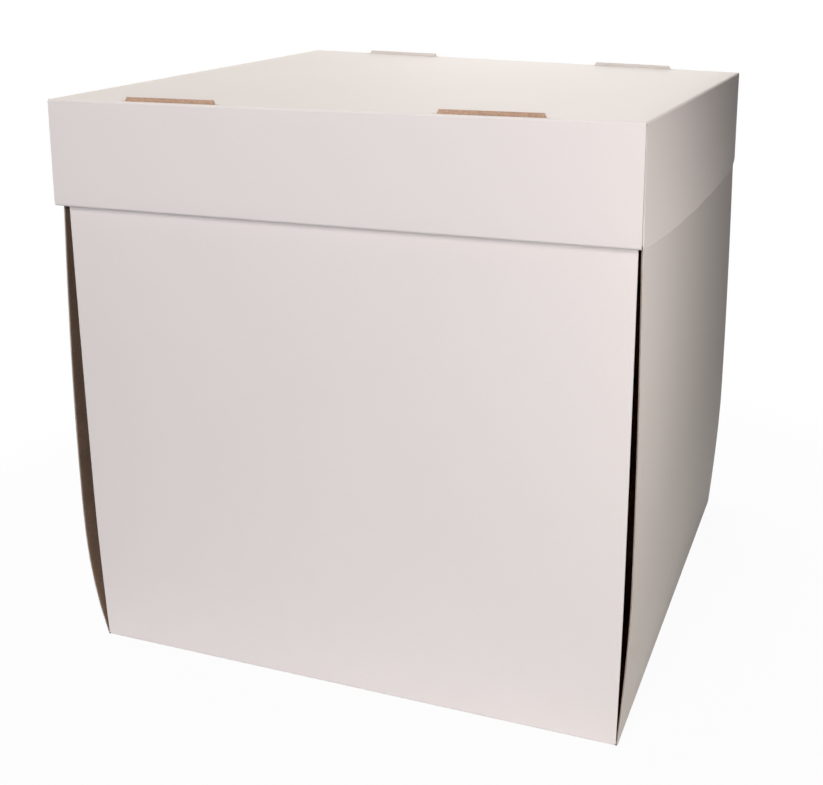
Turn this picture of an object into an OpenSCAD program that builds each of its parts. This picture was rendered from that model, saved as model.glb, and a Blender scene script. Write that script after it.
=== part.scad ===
// A tall square cake box in two pieces of white-lined fluted board.
// The tray is a floor with four tall walls folded up from it, free at their corners. The lid telescopes
// over it: its front and back cuffs are rolled double, and locked by tabs that stand up through slots in
// the lid's top. The side walls of both pieces bulge, and the lid's top is a little twisted.
// Millimetres, +Z up, the front towards -Y. The origin is the middle of the floor's underside.

/* [Board] */
// Thickness of the fluted board
board = 1.6; // [1.2:0.1:2.4]
// Radius inside a crease
crease_in = 1; // [0.6:0.1:1.4]

/* [Tray] */
// Width of the tray at its floor
tray_w = 590; // [400:1:700]
// Depth of the tray, front to back
tray_d = 581; // [400:1:700]
// Height of the tray's walls
tray_h = 595.5; // [400:0.5:700]
// Outward bulge of the left wall
left_bulge = 19.5; // [0:0.5:22]
// Outward bulge of the right wall
right_bulge = 8; // [0:0.5:14]
// Outward bulge of the front and back walls
end_bulge = 2.4; // [0:0.1:3]
// Height above the floor at which the walls bulge most
bulge_z = 160; // [100:1:250]
// How full the left wall's bulge is low down: more is fuller
left_fullness = 2.4; // [1.2:0.1:3]
// How full the bulge of the other walls is low down
fullness = 1.5; // [1.2:0.1:3]
// How far the walls lean to the right at their tops
lean = 2.2; // [0:0.1:3]
// How far the cut edges of the front and back walls bow out at their fullest
edge_bow = 2; // [0:0.1:3]
// Gap between two walls at a corner of the floor
corner_gap = 0.4; // [0.2:0.1:1]

/* [Lid] */
// Height of the lid's rim
rim_h = 108; // [80:1:160]
// Clearance between the lid's side rims and the tray's walls
side_clear = 3.4; // [2:0.1:6]
// Clearance between the lid's rolled cuffs and the tray's walls
end_clear = 1.3; // [1:0.1:4]
// Height of the lowest corner of the lid's underside above the tray's walls
seat_gap = 0.3; // [0.2:0.1:2]
// Rise of the top's back left corner, and fall of its back right corner
twist = 8.7; // [0:0.1:12]
// How far the side rims bow out, at the middle of their lower edge
rim_spread = 13; // [6:0.5:20]
// How far the left rim already leans out at its front and back corners
left_flare = 3.6; // [2:0.1:5]
// How far the right rim already leans out at its front and back corners
right_flare = 0.4; // [0:0.1:5]

/* [Cuffs and flaps] */
// Room between the two layers of a rolled cuff
cuff_room = 5; // [4:0.1:8]
// Gap between the top and the free edge of a cuff's inner layer
tuck_gap = 0.4; // [0.2:0.1:2]
// Length of the corner flaps inside the cuffs
flap_len = 90; // [30:1:120]
// Gap between a corner flap and the cuff's outer layer
flap_gap = 0.4; // [0.2:0.1:0.8]
// Gap between a cuff's end and the side rim's outer face
end_gap = 0.4; // [0.2:0.1:1]

/* [Locking tabs] */
// Length of a locking tab
tab_w = 102.5; // [60:0.5:120]
// Distance from the lid's middle to the middle of a tab
tab_x = 162.5; // [75:0.5:180]
// Height that a tab stands above the top
tab_h = 4; // [2:0.1:8]
// How much each end of a tab slants in
tab_slant = 3; // [0:0.1:8]
// Room beyond each end of a tab in its slot
slot_end = 4.5; // [1:0.1:8]
// Room before and behind a tab in its slot
slot_side = 0.8; // [0.3:0.1:1.5]

/* [Hidden] */

crease_out = crease_in + board;
wall_steps = 20;
arc_steps = 4;
rim_steps = 5;
top_steps = 9;
// How far a wall's crease reaches into the floor's plate
lap = 6;

cuff_t = 2 * board + cuff_room;
lid_w = tray_w + 2 * (board + side_clear);
lid_d = tray_d + 2 * (cuff_t + end_clear);
lid_z = tray_h + seat_gap + twist + board;
half_w = lid_w / 2;
half_d = lid_d / 2;
rim_bulge = [rim_spread - left_flare, rim_spread - right_flare];
rim_flare = [left_flare, right_flare];

// Share of a tray wall's bulge at a height: it swells up to the fullest point and falls back to none
function swell(z, full) =
    z < bulge_z
        ? 1 - pow(1 - (z - crease_out) / (bulge_z - crease_out), full)
        : cos(90 * (z - bulge_z) / (tray_h - bulge_z));

// Share of a wall's height, from its crease to its top
function rise(z) = (z - crease_out) / (tray_h - crease_out);

// A wall's form is [bulge, fullness, outward lean at the top]
right_form = [right_bulge, fullness, lean];
left_form = [left_bulge, left_fullness, -lean];
end_form = [end_bulge, fullness, 0];

// A point on a tray wall's outer face, [out from the floor's edge, height], and the unit normal there
function wall_point(form, z) = [form[0] * swell(z, form[1]) + form[2] * rise(z), z];
function wall_normal(form, z) =
    let (d = wall_point(form, z + board / 4) - wall_point(form, z - board / 4))
    [d.y, -d.x] / norm(d);

wall_z = [for (k = [0:wall_steps]) crease_out + (tray_h - crease_out) * k / wall_steps];

// Outline of a tray wall with its crease and the lap on the floor, seen along the wall
function wall_outline(form) =
    let (
        outer = [for (z = wall_z) wall_point(form, z)],
        inner = [for (z = wall_z) wall_point(form, z) - board * wall_normal(form, z)],
        turn = [for (k = [1:arc_steps]) 90 * k / arc_steps]
    )
    concat(
        [for (k = [wall_steps:-1:0]) inner[k]],
        [for (a = turn) [-crease_out + crease_in * cos(a), crease_out - crease_in * sin(a)]],
        [[-crease_out - lap, board], [-crease_out - lap, 0]],
        [for (k = [arc_steps:-1:1]) [-crease_out + crease_out * cos(turn[k - 1]),
                                     crease_out - crease_out * sin(turn[k - 1])]],
        outer
    );

// A wall that faces +X, its outer face at the floor's edge
module wall_sheet(length, edge, form) {
    translate([edge, length / 2, 0])
        rotate([90, 0, 0])
            linear_extrude(length)
                polygon(wall_outline(form));
}

// A side wall. At the corners of the floor its lap is cut away, so that only root of it is joined there.
module side_wall(length, root, edge, form) {
    cut_w = crease_out + lap;
    difference() {
        wall_sheet(length, edge, form);
        for (y = [-length, root / 2])
            translate([edge - crease_out - 2 * cut_w, y, -crease_out])
                cube([2 * cut_w, length - root / 2, 2 * crease_out]);
    }
}

// Right or left cut edge of the front and back walls at a height
function cut_edge(side, width, z) =
    side * (width / 2 + edge_bow * swell(z, fullness)) + lean * rise(z);

// Face of the front or back wall as cut: its root at the crease, then its two long edges
module end_face(width, root) {
    rotate([90, 0, 0])
        linear_extrude(2 * tray_d, center = true)
            polygon(concat(
                [[-root / 2, -board], [root / 2, -board], [root / 2, crease_out]],
                [for (z = wall_z) [cut_edge(1, width, z), z]],
                [[cut_edge(1, width, tray_h), tray_h + board], [cut_edge(-1, width, tray_h), tray_h + board]],
                [for (k = [wall_steps:-1:0]) [cut_edge(-1, width, wall_z[k]), wall_z[k]]],
                [[-root / 2, crease_out]]
            ));
}

module tray() {
    floor_w = tray_w - 2 * crease_out;
    floor_d = tray_d - 2 * crease_out;
    end_w = tray_w - 2 * (board + corner_gap);
    side_l = tray_d - 2 * corner_gap;
    color([0.91, 0.88, 0.86]) {
        translate([-floor_w / 2, -floor_d / 2, 0])
            cube([floor_w, floor_d, board]);
        for (side = [0, 1])
            rotate([0, 0, 180 * side])
                side_wall(side_l, floor_d, tray_w / 2, side == 0 ? right_form : left_form);
        intersection() {
            end_face(end_w, floor_w - 2 * corner_gap);
            for (side = [0, 1])
                rotate([0, 0, 90 + 180 * side])
                    wall_sheet(tray_w + 2 * edge_bow + 2 * lean, tray_d / 2, end_form);
        }
    }
}

// The lid is one cut blank, worked out as a grid of lines that run front to back and across. A line is a
// list of [in from the face, height, the same two for the unprinted side]. Cells that aren't there are
// the blank's cuts.
function crease(u, z, from, to) = [
    for (k = [0:arc_steps])
        let (a = from + (to - from) * k / arc_steps, c = cos(a), s = sin(a))
        [u + crease_out * c, z + crease_out * s, u + crease_in * c, z + crease_in * s]
];

cuff_line = concat(
    [[cuff_t, tab_h, cuff_t - board, tab_h]],
    [[cuff_t, -board - tuck_gap, cuff_t - board, -board - tuck_gap]],
    crease(cuff_t - crease_out, crease_out - rim_h, 0, -90),
    crease(crease_out, crease_out - rim_h, -90, -180),
    crease(crease_out, -crease_out, 180, 90)
);
rim_line = concat(
    [for (k = [0:rim_steps - 1]) let (z = -rim_h + (rim_h - crease_out) * k / rim_steps) [0, z, board, z]],
    crease(crease_out, -crease_out, 180, 90)
);

// Lines that cross the top: distances in from the front face, and from the middle to the right
slot_near = cuff_t - board - slot_side;
slot_far = cuff_t + slot_side;
top_rows = concat(
    [slot_near],
    [for (k = [0:top_steps]) slot_far + (lid_d - 2 * slot_far) * k / top_steps],
    [lid_d - slot_near]
);
half_columns = [
    tab_x / 3,
    tab_x - tab_w / 2 - slot_end, tab_x - tab_w / 2, tab_x, tab_x + tab_w / 2, tab_x + tab_w / 2 + slot_end
];
top_columns = concat([for (k = [len(half_columns) - 1:-1:0]) -half_columns[k]], [0], half_columns);

cuff_n = len(cuff_line);
rim_n = len(rim_line);
row_n = 2 * cuff_n + len(top_rows);
column_n = 2 * rim_n + len(top_columns);
// The first lines of the cuff that belong to its outer layer, and of the corner flap
outer_row = 2 + 2 * (arc_steps + 1) - 1;
flap_row = cuff_n - arc_steps - 2;

// A line's number counted in from the nearer edge of the blank
function from_edge(k, n) = min(k, n - 1 - k);
function on_rim(i) = from_edge(i, column_n) < rim_n - 1;
function on_cuff(j) = from_edge(j, row_n) < cuff_n - 1;
function side_of(k, n) = k < n / 2 ? -1 : 1;

function top_x(i) =
    from_edge(i, column_n) < rim_n ? side_of(i, column_n) * (half_w - crease_out) : top_columns[i - rim_n];
function top_y(j) =
    from_edge(j, row_n) < cuff_n ? side_of(j, row_n) * (half_d - crease_out) : top_rows[j - cuff_n] - half_d;

// How far a side rim stands out at a height below the top and a distance from the middle
function stand_out(side, y, z) =
    let (s = side < 0 ? 0 : 1)
    -z / rim_h * (rim_flare[s] + rim_bulge[s] * (1 - pow(min(1, abs(y) / half_d), 3)));

// Rise of the twisted top over its front edge
function lift(x, y) = -twist * (x / half_w) * (y + half_d) / lid_d;

// Where a line across a cuff meets a column: the end columns follow the side rims, tabs are slanted
function cuff_x(i, j, z) =
    let (x = top_x(i), s = side_of(i, column_n), e = from_edge(j, row_n))
    from_edge(i, column_n) == rim_n - 1
        ? (e < outer_row ? x - s * end_gap
           : e < cuff_n - arc_steps ? s * (half_w - end_gap + stand_out(s, half_d, z))
           : x + s * (crease_out - end_gap) * (cuff_n - 1 - e) / arc_steps)
        : e > 0 ? x
        : x - sign(abs(x) - tab_x) * sign(x) * tab_slant;

// A corner flap's line: round the rim's end, then along inside the cuff
function flap_point(i, j, inner) =
    let (
        s = side_of(i, column_n), t = side_of(j, row_n),
        turn = cuff_n - 1 - from_edge(j, row_n),
        a = 180 + 90 * min(turn, arc_steps) / arc_steps,
        r = inner ? crease_in : crease_out,
        row_z = rim_line[from_edge(i, column_n)][inner ? 3 : 1],
        z = turn > 0 ? max(row_z, -rim_h + 2 * board) : row_z,
        along = crease_out + r * cos(a) + (turn > arc_steps ? flap_len : 0),
        deep = board + flap_gap + crease_out + r * sin(a),
        y = t * (half_d - deep)
    )
    [s * (half_w - along + stand_out(s, turn > 0 ? half_d : y, z)), y, z];

// The point at a crossing of two lines, on the printed side or the other
function blank_point(i, j, inner) =
    let (
        k = inner ? 2 : 0,
        s = side_of(i, column_n), t = side_of(j, row_n),
        rim = rim_line[min(from_edge(i, column_n), rim_n - 1)],
        cuff = cuff_line[min(from_edge(j, row_n), cuff_n - 1)]
    )
    on_rim(i)
        ? (from_edge(i, column_n) <= rim_steps && from_edge(j, row_n) < cuff_n
            ? flap_point(i, j, inner)
            : [s * (half_w - rim[k] + stand_out(s, top_y(j), rim[k + 1])), top_y(j), rim[k + 1]])
        : on_cuff(j)
            ? [cuff_x(i, j, cuff[k + 1]), t * (half_d - cuff[k]), cuff[k + 1]]
            : [top_x(i), top_y(j), inner ? -board : 0];

// Whether the cell between lines i, i + 1 and j, j + 1 is board
function in_span(x, from, to) = x > from && x < to;
function tab_column(i, extra) =
    in_span(abs((top_x(i) + top_x(i + 1)) / 2), tab_x - tab_w / 2 - extra, tab_x + tab_w / 2 + extra);
function is_board(i, j) =
    i < 0 || j < 0 || i > column_n - 2 || j > row_n - 2 ? false
    : let (
        rim_i = min(i, column_n - 2 - i), cuff_j = min(j, row_n - 2 - j),
        over_top = rim_i >= rim_n - 1, over_mid = cuff_j >= cuff_n - 1
    )
    over_top && over_mid ? !(cuff_j == cuff_n && tab_column(i, slot_end))
    : over_top ? cuff_j > 0 || tab_column(i, 0)
    : over_mid ? true
    : rim_i < rim_steps && cuff_j >= flap_row;

function corner(i, j, inner) = 2 * (i * row_n + j) + inner;
function quad(a, b, c, d) = [[a, b, c], [a, c, d]];
function cell_faces(i, j) = concat(
    quad(corner(i, j, 0), corner(i, j + 1, 0), corner(i + 1, j + 1, 0), corner(i + 1, j, 0)),
    quad(corner(i, j, 1), corner(i + 1, j, 1), corner(i + 1, j + 1, 1), corner(i, j + 1, 1)),
    is_board(i - 1, j) ? [] : quad(corner(i, j, 0), corner(i, j, 1), corner(i, j + 1, 1), corner(i, j + 1, 0)),
    is_board(i + 1, j) ? []
        : quad(corner(i + 1, j, 0), corner(i + 1, j + 1, 0), corner(i + 1, j + 1, 1), corner(i + 1, j, 1)),
    is_board(i, j - 1) ? [] : quad(corner(i, j, 0), corner(i + 1, j, 0), corner(i + 1, j, 1), corner(i, j, 1)),
    is_board(i, j + 1) ? []
        : quad(corner(i, j + 1, 0), corner(i, j + 1, 1), corner(i + 1, j + 1, 1), corner(i + 1, j + 1, 0))
);

module lid() {
    points = [
        for (i = [0:column_n - 1], j = [0:row_n - 1], inner = [0, 1])
            let (p = blank_point(i, j, inner == 1))
            [p.x, p.y, p.z + lid_z + lift(p.x, p.y)]
    ];
    faces = [
        for (i = [0:column_n - 2], j = [0:row_n - 2])
            if (is_board(i, j))
                each cell_faces(i, j)
    ];
    color([0.93, 0.9, 0.87])
        polyhedron(points, faces);
}

tray();
lid();
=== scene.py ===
from math import cos, hypot, pi, radians, sin

import bmesh
import bpy
from bpy.props import FloatProperty, FloatVectorProperty, IntProperty, PointerProperty
from mathutils import Matrix, Vector


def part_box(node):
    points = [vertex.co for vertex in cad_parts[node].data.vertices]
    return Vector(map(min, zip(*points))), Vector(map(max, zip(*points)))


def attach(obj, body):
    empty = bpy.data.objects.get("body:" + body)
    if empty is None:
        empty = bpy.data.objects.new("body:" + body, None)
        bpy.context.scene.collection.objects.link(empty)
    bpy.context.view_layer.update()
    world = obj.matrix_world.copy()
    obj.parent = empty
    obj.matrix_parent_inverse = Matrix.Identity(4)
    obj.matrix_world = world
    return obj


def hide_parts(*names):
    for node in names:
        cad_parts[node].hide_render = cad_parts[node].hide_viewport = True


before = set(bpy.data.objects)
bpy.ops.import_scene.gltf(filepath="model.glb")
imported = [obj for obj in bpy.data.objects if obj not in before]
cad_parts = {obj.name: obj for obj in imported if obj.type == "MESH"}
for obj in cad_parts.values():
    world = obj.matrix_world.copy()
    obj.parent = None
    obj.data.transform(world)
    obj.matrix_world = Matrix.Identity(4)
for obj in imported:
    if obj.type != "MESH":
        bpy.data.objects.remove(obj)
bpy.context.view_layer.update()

bl_info = {
    "name": "Tall Cake Box",
    "version": (1, 0, 0),
    "blender": (4, 5, 0),
    "location": "View3D > Sidebar > Cake Box",
    "description": "A tall square cake box of white-lined fluted board: a tray and a telescoping lid",
    "category": "Object",
}

TRAY_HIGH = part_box("tray")[1]
LID_LOW, LID_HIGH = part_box("lid")
MM = 0.001
# Two places closer than this are the same, and one is beyond another by at least this
SAME = 0.02 * MM
BEYOND = 0.1 * MM
# How far in from a cut edge the flutes are modelled, as far as an eye sees in: walls, then the lid's edges
SEE_DOWN = 30 * MM
SEE_IN = 15 * MM
# Widths of the bars that close a cut edge which runs with the flutes
UPRIGHT_BAR = 1 * MM
FLAT_BAR = 0.5 * MM
# The first straight piece of an end wall, over which it widens from its crease
WIDENING = 0.4 * MM
# Spacing of the cuts along the cuffs, half the width of the pinched line, and how much the left front
# corner's lower edge is cut back for each unit that it turns under
CUFF_CUT = 27 * MM
PINCH_SIDE = 1.4 * MM
CORNER_CUT = 0.9
# How far the flutes stay below a tab's top edge
TAB_SINK = 0.25 * MM
# A face looks along an axis when its normal has more than this share of it
FACING = 0.7
# Faces of the lid from its middle to its front or back, and down its rim
LID_COLUMNS = 9
LID_ROWS = 6
# The stage's floor, and how far it lies below the box
FLOOR_SIZE = 24
FLOOR_DROP = 0.2 * MM


# Sizes and colours that a user would change


def length(name, description, default):
    return FloatProperty(
        name=name, description=description, default=default, min=0, precision=4, unit="LENGTH",
        subtype="DISTANCE",
    )


def colour(name, description, default):
    return FloatVectorProperty(
        name=name, description=description, default=default, min=0, max=1, size=3, subtype="COLOR_GAMMA",
    )


def watts(name, description, default):
    return FloatProperty(name=name, description=description, default=default, min=0)


class CakeBoxBoard(bpy.types.PropertyGroup):
    """The fluted board that both blanks are cut from"""

    board: length("Board", "Thickness of the board", 1.6 * MM)
    liner: length("Liner", "Thickness of the paper on each face of the board", 0.24 * MM)
    medium: length("Medium", "Thickness of the fluted paper inside the board", 0.34 * MM)
    pitch: length("Flute Pitch", "Distance from one flute to the next", 3.36 * MM)
    crease_in: length("Crease Radius", "Radius inside a crease", 1 * MM)
    crease_steps: IntProperty(
        name="Crease Steps", description="Faces round a crease", default=6, min=2, max=12,
    )
    wave_steps: IntProperty(
        name="Flute Steps", description="Faces across one flute", default=8, min=6, max=16,
    )


class CakeBoxTray(bpy.types.PropertyGroup):
    """The tray: a floor and four walls that are free at their corners"""

    width: length("Width", "Width of the tray at its floor", 590 * MM)
    depth: length("Depth", "Depth of the tray from front to back", 581 * MM)
    height: length("Height", "Height of the walls", TRAY_HIGH.z)
    left_bulge: length("Left Bulge", "Outward bulge of the left wall", 19.49 * MM)
    right_bulge: length("Right Bulge", "Outward bulge of the right wall", 8 * MM)
    end_bulge: length("End Bulge", "Outward bulge of the front and back walls", 2.4 * MM)
    bulge_z: length("Bulge Height", "Height at which the walls bulge most", 160 * MM)
    left_fullness: FloatProperty(
        name="Left Fullness", description="How full the left wall's bulge is low down",
        default=2.4, min=1, max=4,
    )
    fullness: FloatProperty(
        name="Fullness", description="How full the bulge of the other walls is low down",
        default=1.5, min=1, max=4,
    )
    lean: length("Lean", "How far the walls lean to the right at their tops", 2.2 * MM)
    edge_bow: length("Edge Bow", "How far the cut edges of the front and back walls bow out", 2 * MM)
    corner_gap: length("Corner Gap", "Gap between two walls at a corner of the floor", 0.4 * MM)
    rows: IntProperty(name="Rows", description="Rows of faces up a wall", default=20, min=8, max=60)


class CakeBoxLid(bpy.types.PropertyGroup):
    """The lid: a top, single side rims, and front and back cuffs rolled double"""

    width: length("Width", "Width of the lid's top", 600 * MM)
    depth: length("Depth", "Depth of the lid's top", LID_HIGH.y - LID_LOW.y)
    rim: length("Rim", "Height of the lid's rim", 108 * MM)
    seat_gap: length("Seat Gap", "Gap between the lid's lowest corner and the walls", 0.3 * MM)
    twist: length("Twist", "Rise of the back left corner and fall of the back right one", 8.7 * MM)
    spread: length("Spread", "How far the side rims bow out at the middle of their lower edge", 12.98 * MM)
    left_flare: length("Left Flare", "How far the left rim leans out at its corners", 3.6 * MM)
    right_flare: length("Right Flare", "How far the right rim leans out at its corners", 0.4 * MM)
    cuff: length("Cuff", "Thickness of a rolled cuff", 8.2 * MM)
    tuck_gap: length("Tuck Gap", "Gap between the top and the edge of a cuff's inner layer", 0.4 * MM)
    flap: length("Flap", "Length of the corner flaps inside the cuffs", 90 * MM)
    flap_gap: length("Flap Gap", "Gap between a corner flap and the cuff's outer layer", 0.4 * MM)
    end_gap: length("End Gap", "Gap between a cuff's end and the side rim's face", 0.4 * MM)


class CakeBoxTabs(bpy.types.PropertyGroup):
    """The locking tabs that stand up through slots in the lid's top"""

    width: length("Width", "Length of a tab", 102.5 * MM)
    place: length("Place", "Distance from the lid's middle to the middle of a tab", 162.5 * MM)
    height: length("Height", "Height of a tab above the top", 4 * MM)
    slant: length("Slant", "How much each end of a tab slants in", 3 * MM)
    slot_end: length("Slot Ends", "Room beyond each end of a tab in its slot", 4.5 * MM)
    slot_side: length("Slot Sides", "Room before and behind a tab in its slot", 0.8 * MM)
    pinch: length("Pinch", "Distance of the front left tab's pinched line from its end", 13 * MM)
    pinch_depth: length("Pinch Depth", "How far the pinched line stands out", 0.5 * MM)


class CakeBoxColours(bpy.types.PropertyGroup):
    """Colours of the papers, as they would be picked on a screen"""

    white: colour("White Liner", "Colour of the printed face", (0.93, 0.905, 0.885))
    kraft: colour("Kraft Liner", "Colour of the brown face", (0.73, 0.61, 0.515))
    medium: colour("Medium", "Colour of the fluted paper", (0.70, 0.58, 0.50))
    edge: colour("Cut Edge", "Colour of the papers' cut edges", (0.96, 0.91, 0.85))
    floor: colour("Floor", "Colour of the floor round the box", (0.8, 0.8, 0.8))
    surround: colour("Surround", "Colour of the floor farther off, which gives less light", (0.12, 0.12, 0.12))


class CakeBoxStage(bpy.types.PropertyGroup):
    """Camera and lamps"""

    eye: FloatVectorProperty(
        name="Camera", description="Place of the camera", default=(0.4886, -1.2718, 0.7314), size=3,
        unit="LENGTH", subtype="TRANSLATION",
    )
    yaw: FloatProperty(name="Yaw", description="Turn to the left", default=radians(20.791), subtype="ANGLE")
    pitch: FloatProperty(name="Pitch", description="Tilt down", default=radians(16.191), subtype="ANGLE")
    roll: FloatProperty(name="Roll", description="Tilt to the side", default=radians(-0.356), subtype="ANGLE")
    lens: FloatProperty(name="Lens", description="Focal length in millimetres", default=51.74, min=1)
    shift: FloatVectorProperty(
        name="Shift", description="Shift of the picture, in widths of it", default=(-0.0380, -0.1018), size=2,
    )
    front: watts("Front Lamp", "Power of the lamp in front", 35)
    front_low: watts("Low Front Lamp", "Power of the low lamp in front", 15.4)
    above: watts("Top Lamp", "Power of the lamp above", 20.4)
    side: watts("Side Lamp", "Power of the close lamp to the right", 1.12)
    low_side: watts("Low Side Lamp", "Power of the low lamp to the right", 1.3)
    left: watts("Left Lamp", "Power of the lamp to the left", 22)
    back: watts("Back Lamp", "Power of the lamp behind", 34)


# Place, aim, size and tint of each lamp, by the name of its power
LAMPS = {
    "front": ((0.08, -2.4, 1.8), (0, 0, 0.4), (0.4, 1.2), (1.0, 0.953, 0.9375)),
    "front_low": ((0.08, -2.4, 0.45), (0, 0, 0.4), (0.8, 0.6), (0.857, 0.883, 1.0)),
    "above": ((-0.3, 0.5, 2.4), (-0.1, 0.1, 0.6), (0.3, 1.0), (1.0, 0.985, 0.962)),
    "side": ((0.75, -0.42, 0.6), (0.3, -0.25, 0.4), (0.3, 0.5), (0.998, 0.925, 1.0)),
    "low_side": ((0.85, -0.5, 0.35), (0.3, -0.25, 0.3), (0.3, 0.5), (1.0, 0.975, 0.84)),
    "left": ((-2.2, 0.6, 0.7), (-0.3, 0, 0.3), (1.0, 0.8), (1.0, 0.985, 0.97)),
    "back": ((-0.5, 2.5, 0.8), (0, 0, 0.35), (1.2, 0.8), (1.0, 0.985, 0.97)),
}


# Modelling by hand


def primitive(name, add, **sizes):
    """Adds a primitive as a piece of its own, with nothing else selected."""
    bpy.ops.object.select_all(action="DESELECT")
    add(**sizes)
    piece = bpy.context.object
    piece.name = piece.data.name = name
    return piece


def select_only(*pieces):
    bpy.ops.object.select_all(action="DESELECT")
    for piece in pieces:
        piece.select_set(True)
    bpy.context.view_layer.objects.active = pieces[0]


def edit(piece):
    select_only(piece)
    bpy.ops.object.mode_set(mode="EDIT")


def leave():
    bpy.ops.object.mode_set(mode="OBJECT")


def middle(element):
    corners = [element.co] if isinstance(element, bmesh.types.BMVert) else [v.co for v in element.verts]
    return sum(corners, Vector()) / len(corners)


def pick(kind, test):
    """In edit mode, selects the VERT, EDGE or FACE elements whose middle passes the test."""
    mesh = bmesh.from_edit_mesh(bpy.context.object.data)
    bpy.ops.mesh.select_all(action="DESELECT")
    bpy.context.tool_settings.mesh_select_mode = (kind == "VERT", kind == "EDGE", kind == "FACE")
    mesh.select_mode = {kind}
    elements = {"VERT": mesh.verts, "EDGE": mesh.edges, "FACE": mesh.faces}[kind]
    for element in elements:
        if test(middle(element)):
            element.select_set(True)
    mesh.select_flush_mode()
    bmesh.update_edit_mesh(bpy.context.object.data)


def near(value, wanted):
    return abs(value - wanted) < SAME


def fold(steps, degrees, centre, axis):
    """Turns the selected edges about an axis, right-handed, leaving a crease behind them."""
    bpy.ops.mesh.spin(steps=steps, angle=-radians(degrees), center=centre, axis=axis)


def run_on(x=0.0, y=0.0, z=0.0):
    """Extrudes the selected edges into a panel."""
    bpy.ops.mesh.extrude_region_move(TRANSFORM_OT_translate={"value": (x, y, z)})


def stretch(x=1.0, y=1.0, z=1.0, about=(0, 0, 0)):
    bpy.ops.transform.resize(value=(x, y, z), center_override=about)


def cut_at(axis, values):
    """Cuts the whole mesh along planes across an axis."""
    across = Vector([axis == k for k in range(3)])
    for value in values:
        bpy.ops.mesh.select_all(action="SELECT")
        bpy.ops.mesh.bisect(plane_co=across * value, plane_no=across)


def drop_faces(test):
    pick("FACE", test)
    bpy.ops.mesh.delete(type="FACE")


def settle(piece, rule):
    """Moves each vertex to where the rule puts it."""
    for vertex in piece.data.vertices:
        vertex.co = rule(vertex.co)
    piece.data.update()


def face_outwards(piece, test):
    """Makes the faces agree, and turns them over if the one that passes the test points inwards."""
    edit(piece)
    bpy.ops.mesh.select_all(action="SELECT")
    bpy.ops.mesh.remove_doubles(threshold=0.01 * MM)
    bpy.ops.mesh.normals_make_consistent(inside=False)
    mesh = bmesh.from_edit_mesh(piece.data)
    if any(test(face.calc_center_median(), face.normal) for face in mesh.faces):
        bpy.ops.mesh.select_all(action="SELECT")
        bpy.ops.mesh.flip_normals()
    leave()


def finish_with(piece, kind, **settings):
    select_only(piece)
    modifier = piece.modifiers.new(kind.title(), kind)
    for name, value in settings.items():
        setattr(modifier, name, value)
    bpy.ops.object.modifier_apply(modifier=modifier.name)


def copy_of(piece, name):
    select_only(piece)
    bpy.ops.object.duplicate()
    twin = bpy.context.object
    twin.name = twin.data.name = name
    return twin


def sink(piece, distance):
    """Moves a sheet towards the board's unprinted side."""
    finish_with(piece, "DISPLACE", strength=-distance, mid_level=0, direction="NORMAL")


def thicken(piece, thickness, offset=-1.0, back=0, rim=0):
    """Gives a sheet its thickness; back and rim pick the materials of its other side and its cut edges."""
    finish_with(
        piece, "SOLIDIFY", thickness=thickness, offset=offset, use_even_offset=True, use_rim=True,
        material_offset=back, material_offset_rim=rim,
    )


def smooth(piece, degrees=35):
    select_only(piece)
    bpy.ops.object.shade_smooth_by_angle(angle=radians(degrees))


def join(name, pieces):
    select_only(*pieces)
    bpy.ops.object.join()
    whole = bpy.context.object
    whole.name = whole.data.name = name
    return whole


def lay_out(piece, across_flutes):
    """UV map of the blank in metres: across the flutes, then along them."""
    mesh = piece.data
    if not mesh.uv_layers:
        mesh.uv_layers.new(name="blank")
    mesh.uv_layers[0].name = "blank"
    blank = mesh.uv_layers[0].data
    for face in mesh.polygons:
        for loop in face.loop_indices:
            blank[loop].uv = across_flutes(face.normal, mesh.vertices[mesh.loops[loop].vertex_index].co)


def flutes(name, board, across, along, place, samples=1):
    """A fluted sheet. One flute is modelled and arrayed over the distance across; place(a, s, t) then puts
    a point at distance a along the flutes, s across them and t deep in the board."""
    count = max(1, round(across / board.pitch))
    pitch = across / count
    height = (board.board - 2 * board.liner - board.medium) / 2
    sheet = primitive(
        name, bpy.ops.mesh.primitive_grid_add, x_subdivisions=samples, y_subdivisions=board.wave_steps, size=1,
    )
    settle(sheet, lambda p: Vector((p.x + 0.5, (p.y + 0.5) * pitch, height * sin(2 * pi * (p.y + 0.5)))))
    finish_with(
        sheet, "ARRAY", count=count, use_relative_offset=False, use_constant_offset=True,
        constant_offset_displace=(0, pitch, 0), use_merge_vertices=True, merge_threshold=0.01 * MM,
    )
    settle(sheet, lambda p: place(p.x * along, p.y, board.board / 2 + p.z))
    sheet.data.materials.append(fluted_medium())
    sheet.data.materials.append(cut_paper())
    thicken(sheet, board.medium, offset=0, rim=1)
    return sheet


# Shapes of the two folded blanks


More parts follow.
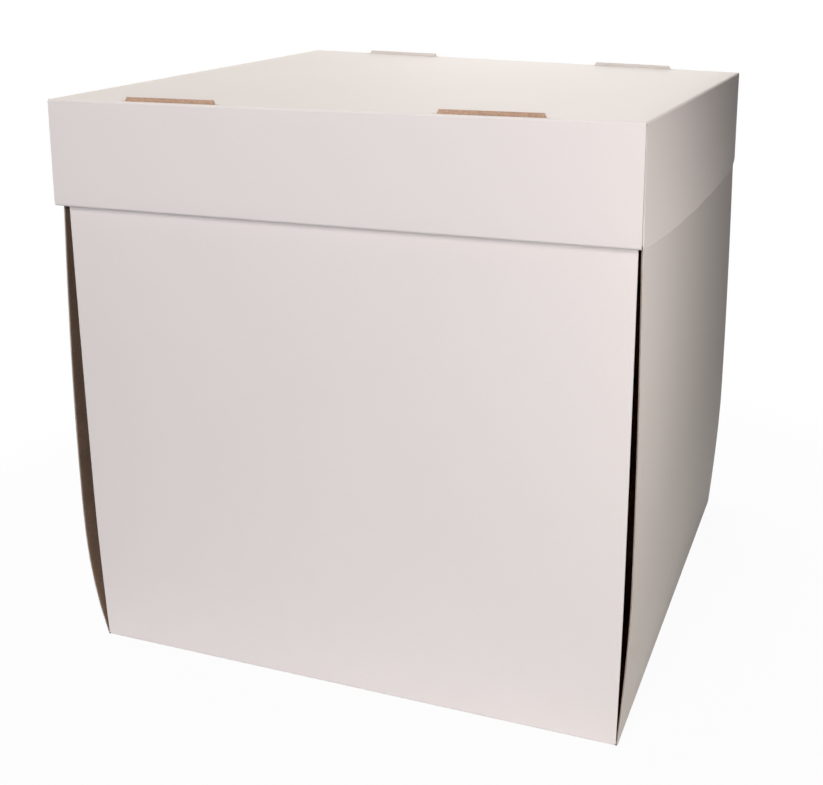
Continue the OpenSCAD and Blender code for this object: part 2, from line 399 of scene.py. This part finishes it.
class TrayForm:
    """Where the tray's sheet comes to rest: its walls bulge and lean."""

    def __init__(self, tray, board):
        self.tray = tray
        self.step = board.board / 4
        self.crease_out = board.crease_in + board.board
        self.side_y = tray.depth / 2 - tray.corner_gap
        self.end_x = tray.width / 2 - board.board - tray.corner_gap

    def swell(self, full, z):
        """Share of a wall's bulge at a height."""
        tray, r = self.tray, self.crease_out
        if z < tray.bulge_z:
            return 1 - (1 - (z - r) / (tray.bulge_z - r)) ** full
        return cos(pi / 2 * (z - tray.bulge_z) / (tray.height - tray.bulge_z))

    def rise(self, z):
        return (z - self.crease_out) / (self.tray.height - self.crease_out)

    def out(self, side, z):
        """How far the left (-1), right (1), or front and back (0) walls stand out at a height."""
        if z <= self.crease_out:
            return 0.0
        tray = self.tray
        bulge, full = {
            -1: (tray.left_bulge, tray.left_fullness), 0: (tray.end_bulge, tray.fullness),
            1: (tray.right_bulge, tray.fullness),
        }[side]
        return bulge * self.swell(full, z) + side * tray.lean * self.rise(z)

    def across(self, x, z):
        """Where a point of the front or back wall lies, left to right: its cut edges bow out and lean."""
        if z <= self.crease_out:
            return x
        bow = self.tray.edge_bow * self.swell(self.tray.fullness, z)
        return x * (1 + bow / self.end_x) + self.tray.lean * self.rise(z)

    def inside(self, side, z, depth):
        """[out, height] of a point at a depth inside a wall."""
        run = self.out(side, z + self.step) - self.out(side, z - self.step)
        size = hypot(run, 2 * self.step)
        return self.out(side, z) - depth * 2 * self.step / size, z + depth * run / size


class LidForm:
    """Where the lid's sheet comes to rest: the top's twist and the side rims' bow."""

    def __init__(self, lid, board):
        self.lid = lid
        self.crease_out = board.crease_in + board.board
        self.half_w = lid.width / 2
        self.half_d = lid.depth / 2
        self.top = TRAY_HIGH.z + lid.seat_gap + lid.twist + board.board
        # Where a side rim turns into its corner flap, how much shorter than the rim the flap is at its
        # lower edge, and the free edge of a cuff's inner layer
        self.rim_end = self.half_d - board.board - lid.flap_gap - self.crease_out
        self.flap_rise = 2 * board.board
        self.shoulder = -board.board - lid.tuck_gap

    def slot(self, tabs, board):
        """A slot's near and far edges, in from the lid's front or back face."""
        return self.lid.cuff - board.board - tabs.slot_side, self.lid.cuff + tabs.slot_side

    def stand_out(self, side, y, z):
        lid = self.lid
        flare = lid.left_flare if side < 0 else lid.right_flare
        bow = 1 - min(1, abs(y) / self.half_d) ** 3
        return -z / lid.rim * (flare + (lid.spread - flare) * bow)

    def lift(self, x, y):
        return -self.lid.twist * (x / self.half_w) * (y + self.half_d) / self.lid.depth

    def place(self, x, y, z):
        return Vector((x, y, z + self.top + self.lift(x, y)))


def tray_blank(name, tray, board):
    """The tray's printed face as one sheet, folded up by hand and then bulged."""
    form = TrayForm(tray, board)
    r, side_y, end_x = form.crease_out, form.side_y, form.end_x
    floor_x, floor_y = tray.width / 2 - r, tray.depth / 2 - r
    sheet = primitive(name, bpy.ops.mesh.primitive_plane_add, size=1)
    edit(sheet)
    stretch(2 * floor_x, 2 * floor_y)
    for side in (-1, 1):
        pick("EDGE", lambda m: near(m.x, side * floor_x))
        fold(board.crease_steps, -90, (side * floor_x, 0, r), (0, side, 0))
        pick("VERT", lambda m: side * m.x > floor_x + BEYOND)
        stretch(y=side_y / floor_y)
        pick("EDGE", lambda m: near(m.x, side * tray.width / 2))
        run_on(z=tray.height - r)
    for side in (-1, 1):
        pick("EDGE", lambda m: near(m.y, side * floor_y) and near(m.z, 0) and near(m.x, 0))
        fold(board.crease_steps, 90, (0, side * floor_y, r), (side, 0, 0))
        pick("VERT", lambda m: side * m.y > floor_y + BEYOND and near(abs(m.x), floor_x))
        stretch(x=(floor_x - tray.corner_gap) / floor_x)
        pick("EDGE", lambda m: near(m.y, side * tray.depth / 2) and near(m.x, 0))
        run_on(z=WIDENING)
        stretch(x=end_x / (floor_x - tray.corner_gap))
        run_on(z=tray.height - r - WIDENING)
    cut_at(2, [r + (tray.height - r) * k / tray.rows for k in range(1, tray.rows)])
    cut_at(0, [side * (end_x - UPRIGHT_BAR) for side in (-1, 1)])
    leave()
    face_outwards(sheet, lambda m, n: near(m.z, 0) and n.z > 0)
    lay_out(
        sheet, lambda n, p: (p.z, p.y) if abs(n.x) > FACING
        else (p.x, p.z if abs(n.y) > FACING else p.y)
    )

    def bulge(p):
        side = 1 if p.x > 0 else -1
        if near(abs(p.x), tray.width / 2):
            return Vector((p.x + side * form.out(side, p.z), p.y, p.z))
        return Vector((form.across(p.x, p.z), p.y + (1 if p.y > 0 else -1) * form.out(0, p.z), p.z))

    settle(sheet, bulge)
    return sheet


def lid_blank(name, lid, tabs, board):
    """The lid's printed face as one sheet, folded by hand and then twisted and bowed."""
    form = LidForm(lid, board)
    r, half_w, half_d = form.crease_out, form.half_w, form.half_d
    top_x, top_y = half_w - r, half_d - r
    rim, cuff, rim_end, shoulder = lid.rim, lid.cuff, form.rim_end, form.shoulder
    steps = board.crease_steps
    sheet = primitive(name, bpy.ops.mesh.primitive_plane_add, size=1)
    edit(sheet)
    stretch(2 * top_x, 2 * top_y)
    for side in (-1, 1):
        # Cuff: down outside, round under, up inside
        pick("EDGE", lambda m: near(m.y, side * top_y) and near(m.x, 0))
        fold(steps, -90, (0, side * top_y, -r), (side, 0, 0))
        pick("VERT", lambda m: side * m.y > top_y + BEYOND and abs(m.x) > top_x - BEYOND)
        stretch(x=(half_w - lid.end_gap) / top_x)
        pick("EDGE", lambda m: near(m.y, side * half_d) and near(m.x, 0))
        run_on(z=2 * r - rim)
        fold(steps, -90, (0, side * top_y, r - rim), (side, 0, 0))
        run_on(y=side * (2 * r - cuff))
        fold(steps, -90, (0, side * (half_d - cuff + r), r - rim), (side, 0, 0))
        run_on(z=rim - r + shoulder)
        pick("VERT", lambda m: half_d / 2 < side * m.y < top_y + BEYOND and abs(m.x) > top_x and m.z < -2 * r)
        stretch(x=(top_x - lid.end_gap) / (half_w - lid.end_gap))
    slot_near, slot_far = form.slot(tabs, board)
    slot_ends = [
        side * (tabs.place + out * (tabs.width / 2 + more))
        for side in (-1, 1) for out in (-1, 1) for more in (0, tabs.slot_end)
    ]
    # More cuts, so that the twist has vertices along the cuffs and the pinch has its line
    along_cuffs = [side * (tabs.place + k * CUFF_CUT) for side in (-1, 1) for k in (-5, -1, 0, 1, 4)]
    pinch = tabs.width / 2 - tabs.pinch - tabs.place
    cut_at(0, sorted(slot_ends) + along_cuffs)
    cut_at(0, [pinch + k * PINCH_SIDE for k in (-1, 0, 1)])
    cut_at(1, [side * (half_d - place) for side in (-1, 1) for place in (slot_near, slot_far)])
    drop_faces(
        lambda m: near(m.z, 0) and half_d - slot_far < abs(m.y) < half_d - slot_near
        and abs(abs(m.x) - tabs.place) < tabs.width / 2 + tabs.slot_end
    )
    for side in (-1, 1):
        for tab in (-1, 1):
            pick(
                "EDGE", lambda m: near(m.z, shoulder) and near(m.y, side * (half_d - cuff))
                and abs(m.x - tab * tabs.place) < tabs.width / 2
            )
            run_on(z=tabs.height - shoulder)
            stretch(x=1 - 2 * tabs.slant / tabs.width, about=(tab * tabs.place, 0, 0))
    for side in (-1, 1):
        # Side rim, with a corner flap at each end that tucks inside the cuff
        pick("EDGE", lambda m: near(m.x, side * top_x) and near(m.z, 0))
        fold(steps, 90, (side * top_x, 0, -r), (0, side, 0))
        run_on(z=r - rim)
        pick("VERT", lambda m: near(m.x, side * half_w) and near(abs(m.y), top_y))
        stretch(y=rim_end / top_y)
        for end in (-1, 1):
            pick("EDGE", lambda m: near(m.x, side * half_w) and near(m.y, end * rim_end))
            fold(steps, 90 * side * end, (side * (half_w - r), end * rim_end, 0), (0, 0, 1))
            pick(
                "VERT", lambda m: near(m.z, -rim) and abs(m.x) > top_x - BEYOND
                and rim_end + BEYOND < end * m.y < rim_end + r + BEYOND
            )
            bpy.ops.transform.translate(value=(0, 0, form.flap_rise))
            pick("EDGE", lambda m: near(m.x, side * top_x) and near(m.y, end * (rim_end + r)))
            run_on(x=-side * lid.flap)
    cut_at(1, [top_y * k / LID_COLUMNS for k in range(1 - LID_COLUMNS, LID_COLUMNS)])
    cut_at(2, [-r - (rim - 2 * r) * k / LID_ROWS for k in range(1, LID_ROWS)])
    leave()
    face_outwards(sheet, lambda m, n: near(m.z, 0) and n.z < 0)
    lay_out(
        sheet, lambda n, p: (p.z, p.x) if abs(n.y) > FACING
        else (p.y, p.z if abs(n.x) > FACING else p.x)
    )

    pinch_top = (pinch + tabs.place) * (1 - 2 * tabs.slant / tabs.width) - tabs.place

    def rest(p):
        x, y, z = p
        side = -1 if x < 0 else 1
        if z > tabs.height / 2 and y < 0 and near(x, pinch_top):
            y -= tabs.pinch_depth
        at_end = abs(x) > half_w - lid.end_gap - BEYOND and abs(y) > top_y + BEYOND
        if at_end and x < 0 and y < 0 and z < r - rim + BEYOND:
            x += (half_d + y) * CORNER_CUT
        on_flap = (
            rim_end + BEYOND < abs(y) < rim_end + r + BEYOND
            and form.flap_rise - rim - BEYOND < z < BEYOND - r
        )
        if at_end or on_flap:
            x += side * form.stand_out(side, half_d, min(0, z))
        elif abs(x) > top_x + BEYOND and abs(y) < rim_end + BEYOND:
            x += side * form.stand_out(side, y, min(0, z)) * min(1, (abs(x) - top_x) / r)
        return form.place(x, y, z)

    settle(sheet, rest)
    return sheet


def cut_edge(sheet, name, board, cuts, keep):
    """A bar that closes a cut edge between the liners: a narrow band of the sheet, sunk and thickened."""
    band = copy_of(sheet, name)
    edit(band)
    for axis, values in cuts:
        cut_at(axis, values)
    drop_faces(lambda m: not keep(m))
    leave()
    sink(band, board.liner)
    thicken(band, board.board - 2 * board.liner)
    band.data.materials.append(cut_paper())
    return band


def liners(sheet, name, board, body):
    """Both liners of a folded blank, from the sheet of its printed face."""
    inner = copy_of(sheet, name + "_inner_liner")
    sink(inner, board.board - board.liner)
    thicken(inner, board.liner)
    inner.data.materials.append(kraft_liner())
    outer = sheet
    outer.name = outer.data.name = name + "_outer_liner"
    outer.data.materials.append(white_liner())
    outer.data.materials.append(cut_paper())
    thicken(outer, board.liner, back=1)
    for piece in (outer, inner):
        smooth(piece)
        belong(piece, body)


def belong(piece, body):
    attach(piece, body)
    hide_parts(body)


def tray_flutes(sheet, tray, board):
    """The medium where the tray's cut edges show it, and the bars along the edges that run with the flutes."""
    form = TrayForm(tray, board)
    r, side_y, end_x = form.crease_out, form.side_y, form.end_x
    parts = []
    for side in (-1, 1):
        def on_side(a, s, t):
            out, z = form.inside(side, r + s, t)
            return Vector((side * (tray.width / 2 + out), a - side_y, z))
        parts.append(flutes("side_wall_flutes", board, tray.height - r, 2 * side_y, on_side))
    for side in (-1, 1):
        def on_end(a, s, t):
            out, z = form.inside(0, tray.height - SEE_DOWN + a, t)
            return Vector((form.across(s - end_x, z), side * (tray.depth / 2 + out), z))
        parts.append(flutes("end_wall_flutes", board, 2 * end_x, SEE_DOWN, on_end, 3))

    def on_bar(m):
        """Faces at the end walls' upright edges, and along the side walls' tops"""
        on_end_wall = m.z > r and abs(abs(m.y) - tray.depth / 2) < 2 * tray.end_bulge
        right, left = form.across(end_x, m.z) - m.x, m.x - form.across(-end_x, m.z)
        at_top = m.z > tray.height - FLAT_BAR and abs(m.y) < side_y / 2
        return on_end_wall and min(left, right) < 0.8 * UPRIGHT_BAR or at_top

    bars = cut_edge(sheet, "cut_edges", board, [(2, [tray.height - FLAT_BAR])], on_bar)
    return join("tray_flutes", parts + [bars])


def lid_flutes(sheet, lid, tabs, board):
    """The medium at the side rims' lower edges, the cuffs' ends and the tabs, and the bars along the slots."""
    form = LidForm(lid, board)
    r, half_w, half_d = form.crease_out, form.half_w, form.half_d
    rim_end, shoulder = form.rim_end, form.shoulder
    parts = []
    for side in (-1, 1):
        def on_rim(a, s, t):
            y, z = s - rim_end, a - lid.rim
            return form.place(side * (half_w + form.stand_out(side, y, z) - t), y, z)
        parts.append(flutes("rim_flutes", board, 2 * rim_end, SEE_IN, on_rim))

    # The runs of a cuff's sheet: its outer layer, each of its two lower creases, its underside, its inner layer
    down, bend, flat, up = lid.rim - 2 * r, pi / 2 * r, lid.cuff - 2 * r, lid.rim - r + shoulder

    def along_cuff(s):
        """[in from the face, height, the printed side's direction] at a distance down the cuff's sheet"""
        if s < down:
            return 0, -r - s, (-1, 0)
        s -= down
        if s < bend:
            a = s / r
            return r - r * cos(a), r - lid.rim - r * sin(a), (-cos(a), -sin(a))
        s -= bend
        if s < flat:
            return r + s, -lid.rim, (0, -1)
        s -= flat
        if s < bend:
            a = s / r
            return lid.cuff - r + r * sin(a), r - lid.rim - r * cos(a), (sin(a), -cos(a))
        return lid.cuff, r - lid.rim + s - bend, (1, 0)

    path = down + 2 * bend + flat + up
    for end in (-1, 1):
        for side in (-1, 1):
            def on_cuff(a, s, t):
                deep, z, out = along_cuff(s)
                outer = s < down + bend
                x = half_w - lid.end_gap if outer else half_w - r - lid.end_gap
                x = side * (x - a) + (side * form.stand_out(side, half_d, z) if outer else 0)
                return form.place(x, end * (half_d - deep + out[0] * t), z - out[1] * t)
            parts.append(flutes("cuff_flutes", board, path, SEE_IN, on_cuff))
        for tab in (-1, 1):
            rise = tabs.height - shoulder
            def on_tab(a, s, t):
                x = tab * tabs.place + (a - 0.5) * (tabs.width - 2 * tabs.slant * s / rise)
                return form.place(x, end * (half_d - lid.cuff + t), shoulder + s - TAB_SINK)
            parts.append(flutes("tab_flutes", board, rise, 1, on_tab, 2))
    slot_near, slot_far = form.slot(tabs, board)
    slot_x = tabs.width / 2 + tabs.slot_end

    def round_slot(m):
        """Faces of the top in a narrow band round each slot"""
        above_top = m.z - form.top - form.lift(m.x, m.y)
        return (
            slot_near - FLAT_BAR < half_d - abs(m.y) < slot_far + FLAT_BAR
            and abs(abs(m.x) - tabs.place) < slot_x + FLAT_BAR and abs(above_top) < FLAT_BAR
        )

    sides, outs = (-1, 1), (-1, 1)
    bars = cut_edge(
        sheet, "cut_edges", board, [
            (1, [side * (half_d - at) for side in sides for at in (slot_near - FLAT_BAR, slot_far + FLAT_BAR)]),
            (0, [side * (tabs.place + out * (slot_x + FLAT_BAR)) for side in sides for out in outs]),
        ], round_slot,
    )
    return join("lid_flutes", parts + [bars])


# Finishes


# Bands that a wave texture of scale 1 draws in a unit
BANDS_PER_UNIT = 20 / (2 * pi)
WHITE = (1, 1, 1, 1)
# Distances from the box's middle over which the floor's colour turns into the surround's, and over which
# its shadow fades; and the share of plain white in the shadowed part
LIT_FLOOR = (0.4, 0.75)
SHADOWED_FLOOR = (0.35, 0.9)
WHITE_IN_SHADOW = 0.955


class Wire:
    """One output of a finish's nodes. Arithmetic on it adds Math nodes."""

    def __init__(self, finish, socket):
        self.finish = finish
        self.socket = socket

    def _maths(self, operation, first, second):
        return self.finish.node("ShaderNodeMath", [first, second], operation=operation)

    def __add__(self, other):
        return self._maths("ADD", self, other)

    def __radd__(self, other):
        return self._maths("ADD", other, self)

    def __sub__(self, other):
        return self._maths("SUBTRACT", self, other)

    def __rsub__(self, other):
        return self._maths("SUBTRACT", other, self)

    def __mul__(self, other):
        return self._maths("MULTIPLY", self, other)

    def __rmul__(self, other):
        return self._maths("MULTIPLY", other, self)


class Finish:
    """The node tree of a material or of the world."""

    def __init__(self, owner):
        self.owner = owner
        owner.use_nodes = True
        self.tree = owner.node_tree
        self.tree.nodes.clear()

    def node(self, kind, inputs=(), output=0, **settings):
        """Adds a node, its settings first, then the values or wires of its sockets, and gives one output."""
        made = self.tree.nodes.new(kind)
        for name, value in settings.items():
            setattr(made, name, value)
        pairs = inputs.items() if isinstance(inputs, dict) else enumerate(inputs)
        for key, value in pairs:
            if isinstance(value, Wire):
                self.tree.links.new(value.socket, made.inputs[key])
            elif value is not None:
                made.inputs[key].default_value = value
        return Wire(self, made.outputs[output]) if made.outputs else None

    def place(self, scale=(1, 1, 1)):
        """Object coordinates, stretched."""
        spot = self.node("ShaderNodeTexCoord", output="Object")
        return self.node("ShaderNodeMapping", {"Vector": spot, "Scale": scale})

    def blank(self, scale):
        """The blank's own coordinates, stretched: across the flutes, then along them."""
        spot = self.node("ShaderNodeUVMap", uv_map="blank")
        return self.node("ShaderNodeMapping", {"Vector": spot, "Scale": scale})

    def noise(self, where, scale=1.0, detail=2.0, roughness=0.5):
        return self.node(
            "ShaderNodeTexNoise", {"Vector": where, "Scale": scale, "Detail": detail, "Roughness": roughness},
        )

    def between(self, wire, low, high, to_low=0.0, to_high=1.0):
        return self.node(
            "ShaderNodeMapRange", [wire, low, high, to_low, to_high], interpolation_type="SMOOTHSTEP",
        )

    def swing(self, wire, low, high):
        """A wire between low and high, as a number from -0.5 to 0.5."""
        return self.between(wire, low, high, -0.5, 0.5)

    def blend(self, share, first, second):
        """A colour between two."""
        return self.node("ShaderNodeMix", {0: share, 6: first, 7: second}, output=2, data_type="RGBA")

    def surface(self, colour, roughness, height, depth):
        """The paper itself, put on the material's output; depth is that of its tooth."""
        bump = self.node("ShaderNodeBump", {"Strength": 1.0, "Distance": depth, "Height": height})
        paper = self.node("ShaderNodeBsdfPrincipled", {
            "Base Color": colour, "Roughness": roughness, "Specular IOR Level": 0.2, "Normal": bump,
        })
        self.node("ShaderNodeOutputMaterial", {"Surface": paper})
        return self.owner

    def seen(self):
        """One where the camera or a reflection looks, and nothing where light bounces."""
        rays = ("Is Camera Ray", "Is Glossy Ray", "Is Transmission Ray")
        return sum((self.node("ShaderNodeLightPath", output=ray) for ray in rays), start=0)


def linear(screen):
    """A colour as picked on a screen, as Blender's sockets want it."""
    return tuple(c / 12.92 if c <= 0.04045 else ((c + 0.055) / 1.055) ** 2.4 for c in screen) + (1.0,)


def shade(colour, factor):
    return tuple(min(1.0, c * factor) for c in colour[:3]) + (1.0,)


def made_once(build):
    """A material is made the first time that a piece needs it."""
    def give():
        name = build.__name__
        return bpy.data.materials.get(name) or build(Finish(bpy.data.materials.new(name)))
    return give


@made_once
def white_liner(f):
    """White printed liner: faint clouds, short fibres, fine tooth, a few specks, and the flutes' faint ribs."""
    scene = bpy.context.scene
    white, brown = linear(scene.cake_box_colours.white), linear(scene.cake_box_colours.kraft)
    clouds = f.noise(f.place(), 7, 3, 0.55)
    mottle = f.noise(f.place(), 420, 4, 0.65)
    fibres = f.noise(f.blank((1500, 160, 1)), 1, 3, 0.6)
    tone = f.swing(clouds, 0.3, 0.7) * 0.03 + f.swing(mottle, 0.25, 0.75) * 0.045
    tone = tone + f.swing(fibres, 0.25, 0.75) * 0.035 + 0.5
    paper = f.blend(tone, shade(white, 0.84), shade(white, 1.16))
    spots = f.node("ShaderNodeTexVoronoi", {"Vector": f.place(), "Scale": 9}, feature="F1")
    size = f.noise(f.place(), 5, 0, 0.5)
    speck = f.between(spots - (size - 0.56) * 0.04, 0.003, 0.0) * 0.6
    paper = f.blend(speck, paper, shade(brown, 0.6))
    flutes_per_unit = 1 / scene.cake_box_board.pitch
    rib = f.node(
        "ShaderNodeTexWave", {"Vector": f.blank((1, 1, 1)), "Scale": flutes_per_unit / BANDS_PER_UNIT},
        wave_type="BANDS", bands_direction="X", wave_profile="SIN",
    )
    tooth = f.noise(f.place(), 1300, 3, 0.6)
    height = rib * 0.09 + tooth * 0.22 + fibres * 0.25 + clouds * 2.0
    return f.surface(paper, f.between(mottle, 0.2, 0.8, 0.66, 0.82), height, 0.12 * MM)


def brown_paper(f, screen, streak, coarse):
    """Unbleached paper: long fibres, dark and pale flecks, and clouds."""
    brown = linear(screen)
    clouds = f.noise(f.place(), 30, 3, 0.6)
    fibres = f.noise(f.place((220, 900, 900)), 1, 3, 0.65)
    flecks = f.noise(f.place(), coarse, 3, 0.7)
    tone = f.swing(clouds, 0.3, 0.7) * 0.22 + f.swing(fibres, 0.25, 0.75) * streak
    tone = tone + f.swing(flecks, 0.3, 0.7) * 0.25 + 0.5
    paper = f.blend(tone, shade(brown, 0.62), shade(brown, 1.38))
    roughness = f.between(flecks, 0.2, 0.8, 0.78, 0.95)
    return f.surface(paper, roughness, fibres * 0.5 + flecks * 0.5, 0.15 * MM)


@made_once
def kraft_liner(f):
    return brown_paper(f, bpy.context.scene.cake_box_colours.kraft, 0.5, 500)


@made_once
def fluted_medium(f):
    return brown_paper(f, bpy.context.scene.cake_box_colours.medium, 0.3, 900)


@made_once
def cut_paper(f):
    return brown_paper(f, bpy.context.scene.cake_box_colours.edge, 0.3, 1400)


@made_once
def white_floor(f):
    """Floor that the camera and reflections see as white, but for the object's soft shadow."""
    colours = bpy.context.scene.cake_box_colours
    away = f.node("ShaderNodeVectorMath", [f.place()], output="Value", operation="LENGTH")
    tone = f.blend(f.between(away, *LIT_FLOOR), linear(colours.floor), linear(colours.surround))
    matte = f.node("ShaderNodeBsdfDiffuse", {"Color": tone})
    glow = f.node("ShaderNodeEmission", {"Color": WHITE, "Strength": 1.0})
    share = f.seen() * f.between(away, *SHADOWED_FLOOR, WHITE_IN_SHADOW, 1.0)
    f.node("ShaderNodeOutputMaterial", {"Surface": f.node("ShaderNodeMixShader", [share, matte, glow])})
    return f.owner


def white_room():
    """World that the camera and reflections see as white; it gives no light."""
    f = Finish(bpy.data.worlds.new("white_room"))
    white = f.node("ShaderNodeBackground", {"Color": WHITE, "Strength": f.seen()})
    f.node("ShaderNodeOutputWorld", {"Surface": white})
    return f.owner


# Operators: one for each folded sheet, one for the stage


class CAKEBOX_OT_tray(bpy.types.Operator):
    """Folds the tray and gives it its liners and flutes"""

    bl_idname = "cakebox.tray"
    bl_label = "Tray"

    def execute(self, context):
        board, tray = context.scene.cake_box_board, context.scene.cake_box_tray
        sheet = tray_blank("tray_outer_liner", tray, board)
        medium = tray_flutes(sheet, tray, board)
        smooth(medium, 50)
        belong(medium, "tray")
        liners(sheet, "tray", board, "tray")
        return {"FINISHED"}


class CAKEBOX_OT_lid(bpy.types.Operator):
    """Folds the lid and gives it its liners and flutes"""

    bl_idname = "cakebox.lid"
    bl_label = "Lid"

    def execute(self, context):
        scene = context.scene
        board, lid, tabs = scene.cake_box_board, scene.cake_box_lid, scene.cake_box_tabs
        sheet = lid_blank("lid_outer_liner", lid, tabs, board)
        medium = lid_flutes(sheet, lid, tabs, board)
        smooth(medium, 50)
        belong(medium, "lid")
        liners(sheet, "lid", board, "lid")
        return {"FINISHED"}


class CAKEBOX_OT_stage(bpy.types.Operator):
    """Sets the floor, the camera, the lamps and the white background"""

    bl_idname = "cakebox.stage"
    bl_label = "Stage"

    def lamp(self, name, spot, aim, size, power, tint):
        bpy.ops.object.select_all(action="DESELECT")
        bpy.ops.object.light_add(type="AREA", location=spot)
        lamp = bpy.context.object
        lamp.name = name
        lamp.rotation_euler = (Vector(aim) - Vector(spot)).to_track_quat("-Z", "Y").to_euler()
        lamp.data.shape = "RECTANGLE"
        lamp.data.size, lamp.data.size_y = size
        lamp.data.energy = power
        lamp.data.color = tint

    def execute(self, context):
        stage = context.scene.cake_box_stage
        floor = primitive("floor", bpy.ops.mesh.primitive_plane_add, size=FLOOR_SIZE)
        edit(floor)
        bpy.ops.transform.translate(value=(0, 0, -FLOOR_DROP))
        bpy.ops.mesh.subdivide(number_cuts=3)
        leave()
        floor.data.materials.append(white_floor())
        bpy.ops.object.camera_add(location=stage.eye)
        camera = bpy.context.object
        camera.name = "camera"
        turn = Matrix.Rotation(stage.yaw, 4, "Z") @ Matrix.Rotation(pi / 2 - stage.pitch, 4, "X")
        camera.rotation_euler = (turn @ Matrix.Rotation(stage.roll, 4, "Z")).to_euler()
        camera.data.lens = stage.lens
        camera.data.shift_x, camera.data.shift_y = stage.shift
        camera.data.clip_start, camera.data.clip_end = 0.05, 60
        context.scene.camera = camera
        for name, (spot, aim, size, tint) in LAMPS.items():
            self.lamp(name, spot, aim, size, getattr(stage, name), tint)
        context.scene.world = white_room()
        context.scene.view_settings.view_transform = "Standard"
        return {"FINISHED"}


class CAKEBOX_PT_sidebar(bpy.types.Panel):
    """The box's sizes, colours and steps"""

    bl_label = "Cake Box"
    bl_idname = "CAKEBOX_PT_sidebar"
    bl_space_type = "VIEW_3D"
    bl_region_type = "UI"
    bl_category = "Cake Box"

    def draw(self, context):
        for name, group in GROUPS.items():
            box = self.layout.box()
            box.label(text=group.__doc__)
            for size in group.__annotations__:
                box.prop(getattr(context.scene, name), size)
        for step in STEPS:
            self.layout.operator(step.bl_idname)


GROUPS = {
    "cake_box_board": CakeBoxBoard, "cake_box_tray": CakeBoxTray, "cake_box_lid": CakeBoxLid,
    "cake_box_tabs": CakeBoxTabs, "cake_box_colours": CakeBoxColours, "cake_box_stage": CakeBoxStage,
}
STEPS = [CAKEBOX_OT_tray, CAKEBOX_OT_lid, CAKEBOX_OT_stage]


def register():
    for made in [*GROUPS.values(), *STEPS, CAKEBOX_PT_sidebar]:
        bpy.utils.register_class(made)
    for name, group in GROUPS.items():
        setattr(bpy.types.Scene, name, PointerProperty(type=group))


def unregister():
    for name in GROUPS:
        delattr(bpy.types.Scene, name)
    for made in reversed([*GROUPS.values(), *STEPS, CAKEBOX_PT_sidebar]):
        bpy.utils.unregister_class(made)


def main():
    register()
    bpy.ops.cakebox.tray()
    bpy.ops.cakebox.lid()
    bpy.ops.cakebox.stage()


if __name__ == "__main__":
    main()
